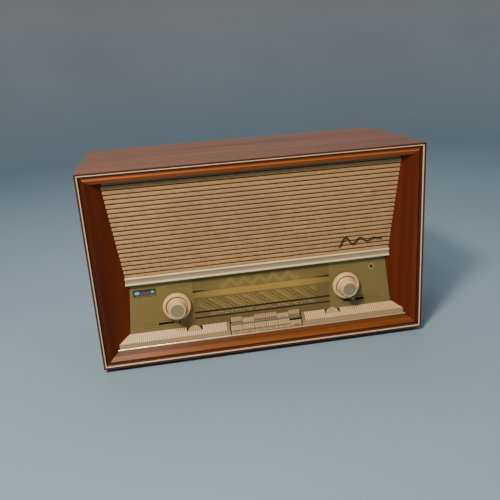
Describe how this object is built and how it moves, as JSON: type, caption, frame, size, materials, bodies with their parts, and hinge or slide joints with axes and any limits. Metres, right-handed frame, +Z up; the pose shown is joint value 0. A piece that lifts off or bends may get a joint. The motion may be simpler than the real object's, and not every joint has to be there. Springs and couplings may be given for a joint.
{
  "type": "table radio",
  "caption": "Table-top valve radio in a glossy wooden cabinet with splayed front, ribbed speaker cloth, olive glass dial, concentric ivory knobs and two rows of push keys.",
  "frame": {"origin": "on the supporting surface under the middle of the overall box, at the bottom of the feet", "axes": "+X to the right seen from the front, +Y towards the back, +Z up; the dial faces -Y"},
  "size_m": [0.626, 0.278, 0.377],
  "materials": {
    "cabinet_wood": "glossy lacquered walnut veneer",
    "frame_wood": "polished red-brown stained beech",
    "ivory_piping": "semi-gloss",
    "raw_board": "unfinished plywood",
    "grille_cloth": "ribbed woven cloth",
    "gilt": "satin gilt",
    "printed_glass": "back-printed, glossy",
    "white_paint": "matt",
    "ivory_plastic": "semi-gloss moulded",
    "indicator_glass": "glowing at both ends",
    "plated_steel": "zinc plated",
    "black_iron": "lacquered laminations",
    "valve_glass": "clear",
    "can_aluminium": "drawn",
    "drum_metal": "pressed",
    "drive_cord": "braided",
    "pulley_brass": "turned",
    "pointer_red": "satin",
    "basket_metal": "grey hammered",
    "cone_paper": "pressed pulp",
    "ferrite": "sintered",
    "back_board": "pressed fibre board",
    "screw_brass": "satin",
    "foot_rubber": "matt",
    "socket_board": "paper laminate",
    "pot_metal": "dull"
  },
  "bodies": {
    "cabinet": {"cabinet_top": "cabinet_wood", "cabinet_bottom": "cabinet_wood", "side_left": "cabinet_wood", "side_right": "cabinet_wood", "front_frame": "frame_wood", "splay_boards": "frame_wood", "edge_piping": "ivory_piping", "baffle_board": "raw_board", "speaker_cloth": "grille_cloth", "divider_strip": "gilt", "shelf_trim": "gilt", "dial_glass": "printed_glass", "dial_reflector": "white_paint", "key_shelf": "ivory_plastic", "tuning_eye": "indicator_glass", "chassis": "plated_steel", "key_frame": "plated_steel", "transformers": "black_iron", "valves": "valve_glass", "chassis_cans": "can_aluminium", "gang_frame": "can_aluminium", "dial_cord": "drive_cord", "main_speaker": "basket_metal", "tweeters": "basket_metal", "speaker_cone": "cone_paper", "ferrite_rod": "ferrite", "back_cover": "back_board", "back_screws": "screw_brass", "feet": "foot_rubber", "mains_grommet": "foot_rubber", "rear_sockets": "socket_board", "potentiometers": "pot_metal"},
    "volume": {"volume_knob": "ivory_plastic", "volume_shaft": "plated_steel"},
    "balance": {"balance_ring": "ivory_plastic"},
    "tuning": {"tuning_knob": "ivory_plastic", "tuning_shaft": "plated_steel"},
    "fm_tuning": {"fm_ring": "ivory_plastic"},
    "gang": {"gang_rotor": "can_aluminium", "drive_drum": "drum_metal"},
    "left_pulley": {"pulley_left": "pulley_brass"},
    "right_pulley": {"pulley_right": "pulley_brass"},
    "am_needle": {"am_pointer": "pointer_red"},
    "fm_needle": {"fm_pointer": "pointer_red"},
    "bass_thumb": {"bass_wheel": "ivory_plastic"},
    "treble_thumb": {"treble_wheel": "ivory_plastic"},
    "bass_flag": {"bass_marker": "ivory_plastic"},
    "treble_flag": {"treble_marker": "ivory_plastic"},
    "upper_1": {"upper_key_1": "ivory_plastic"},
    "upper_2": {"upper_key_2": "ivory_plastic"},
    "upper_3": {"upper_key_3": "ivory_plastic"},
    "upper_4": {"upper_key_4": "ivory_plastic"},
    "upper_5": {"upper_key_5": "ivory_plastic"},
    "upper_6": {"upper_key_6": "ivory_plastic"},
    "lower_1": {"lower_key_1": "ivory_plastic"},
    "lower_2": {"lower_key_2": "ivory_plastic"},
    "lower_3": {"lower_key_3": "ivory_plastic"},
    "lower_4": {"lower_key_4": "ivory_plastic"},
    "lower_5": {"lower_key_5": "ivory_plastic"},
    "lower_6": {"lower_key_6": "ivory_plastic"}
  },
  "joints": [
    {"name": "volume_turn", "type": "hinge", "parent": "cabinet", "child": "volume", "pos_m": [-0.166, -0.109, 0.1065], "axis": [0, 1, 0], "range_deg": [-150, 150]},
    {"name": "balance_turn", "type": "hinge", "parent": "cabinet", "child": "balance", "pos_m": [-0.166, -0.109, 0.1065], "axis": [0, 1, 0], "range_deg": [-135, 135]},
    {"name": "tuning_turn", "type": "hinge", "parent": "cabinet", "child": "tuning", "pos_m": [0.166, -0.109, 0.1065], "axis": [0, 1, 0], "range_deg": [-1074.3, 1074.3]},
    {"name": "fm_turn", "type": "hinge", "parent": "cabinet", "child": "fm_tuning", "pos_m": [0.166, -0.109, 0.1065], "axis": [0, 1, 0], "range_deg": [-1060, 452]},
    {"name": "gang_turn", "type": "hinge", "parent": "cabinet", "child": "gang", "pos_m": [0.04, -0.083, 0.131], "axis": [0, 1, 0], "range_deg": [-89, 89]},
    {"name": "left_pulley_turn", "type": "hinge", "parent": "cabinet", "child": "left_pulley", "pos_m": [-0.13, -0.0889, 0.148], "axis": [0, 1, 0], "range_deg": [-760, 760]},
    {"name": "right_pulley_turn", "type": "hinge", "parent": "cabinet", "child": "right_pulley", "pos_m": [0.13, -0.0889, 0.148], "axis": [0, 1, 0], "range_deg": [-760, 760]},
    {"name": "am_needle_slide", "type": "slide", "parent": "cabinet", "child": "am_needle", "axis": [1, 0, 0], "range_m": [-0.0902, 0.0902]},
    {"name": "fm_needle_slide", "type": "slide", "parent": "cabinet", "child": "fm_needle", "axis": [1, 0, 0], "range_m": [-0.126, 0.0538]},
    {"name": "bass_turn", "type": "hinge", "parent": "cabinet", "child": "bass_thumb", "pos_m": [-0.137, -0.115, 0.0485], "axis": [0, 1, 0], "range_deg": [-93, 7]},
    {"name": "treble_turn", "type": "hinge", "parent": "cabinet", "child": "treble_thumb", "pos_m": [0.137, -0.115, 0.0485], "axis": [0, 1, 0], "range_deg": [-50, 50]},
    {"name": "bass_flag_slide", "type": "slide", "parent": "cabinet", "child": "bass_flag", "axis": [1, 0, 0], "range_m": [-0.0281, 0.0023]},
    {"name": "treble_flag_slide", "type": "slide", "parent": "cabinet", "child": "treble_flag", "axis": [1, 0, 0], "range_m": [-0.0152, 0.0152]},
    {"name": "upper_press_1", "type": "hinge", "parent": "cabinet", "child": "upper_1", "pos_m": [-0.055, -0.067, 0.0545], "axis": [1, 0, 0], "range_deg": [0, 4.5], "stiffness_Nm_per_rad": 0.06, "springref_deg": -8.59},
    {"name": "upper_press_2", "type": "hinge", "parent": "cabinet", "child": "upper_2", "pos_m": [-0.0322, -0.067, 0.0545], "axis": [1, 0, 0], "range_deg": [-4.5, 0]},
    {"name": "upper_press_3", "type": "hinge", "parent": "cabinet", "child": "upper_3", "pos_m": [-0.0094, -0.067, 0.0545], "axis": [1, 0, 0], "range_deg": [0, 4.5], "stiffness_Nm_per_rad": 0.06, "springref_deg": -8.59},
    {"name": "upper_press_4", "type": "hinge", "parent": "cabinet", "child": "upper_4", "pos_m": [0.0134, -0.067, 0.0545], "axis": [1, 0, 0], "range_deg": [0, 4.5], "stiffness_Nm_per_rad": 0.06, "springref_deg": -8.59},
    {"name": "upper_press_5", "type": "hinge", "parent": "cabinet", "child": "upper_5", "pos_m": [0.0362, -0.067, 0.0545], "axis": [1, 0, 0], "range_deg": [-4.5, 0]},
    {"name": "upper_press_6", "type": "hinge", "parent": "cabinet", "child": "upper_6", "pos_m": [0.059, -0.067, 0.0545], "axis": [1, 0, 0], "range_deg": [0, 4.5], "stiffness_Nm_per_rad": 0.06, "springref_deg": -8.59},
    {"name": "lower_press_1", "type": "hinge", "parent": "cabinet", "child": "lower_1", "pos_m": [-0.05625, -0.067, 0.041], "axis": [1, 0, 0], "range_deg": [0, 6], "stiffness_Nm_per_rad": 0.06, "springref_deg": -8.59},
    {"name": "lower_press_2", "type": "hinge", "parent": "cabinet", "child": "lower_2", "pos_m": [-0.03295, -0.067, 0.041], "axis": [1, 0, 0], "range_deg": [0, 6], "stiffness_Nm_per_rad": 0.06, "springref_deg": -8.59},
    {"name": "lower_press_3", "type": "hinge", "parent": "cabinet", "child": "lower_3", "pos_m": [-0.00965, -0.067, 0.041], "axis": [1, 0, 0], "range_deg": [0, 6], "stiffness_Nm_per_rad": 0.06, "springref_deg": -8.59},
    {"name": "lower_press_4", "type": "hinge", "parent": "cabinet", "child": "lower_4", "pos_m": [0.01365, -0.067, 0.041], "axis": [1, 0, 0], "range_deg": [0, 6], "stiffness_Nm_per_rad": 0.06, "springref_deg": -8.59},
    {"name": "lower_press_5", "type": "hinge", "parent": "cabinet", "child": "lower_5", "pos_m": [0.03695, -0.067, 0.041], "axis": [1, 0, 0], "range_deg": [0, 6], "stiffness_Nm_per_rad": 0.06, "springref_deg": -8.59},
    {"name": "lower_press_6", "type": "hinge", "parent": "cabinet", "child": "lower_6", "pos_m": [0.06025, -0.067, 0.041], "axis": [1, 0, 0], "range_deg": [-6, 0]}
  ],
  "couplings": [
    {"joint": "gang_turn", "follows": "tuning_turn", "ratio": 0.082616},
    {"joint": "left_pulley_turn", "follows": "tuning_turn", "ratio": 0.70588},
    {"joint": "right_pulley_turn", "follows": "tuning_turn", "ratio": 0.70588},
    {"joint": "am_needle_slide", "follows": "tuning_turn", "m_per_rad": 0.0048},
    {"joint": "fm_needle_slide", "follows": "fm_turn", "m_per_rad": 0.0068},
    {"joint": "bass_flag_slide", "follows": "bass_turn", "m_per_rad": 0.0172},
    {"joint": "treble_flag_slide", "follows": "treble_turn", "m_per_rad": 0.0172}
  ]
}
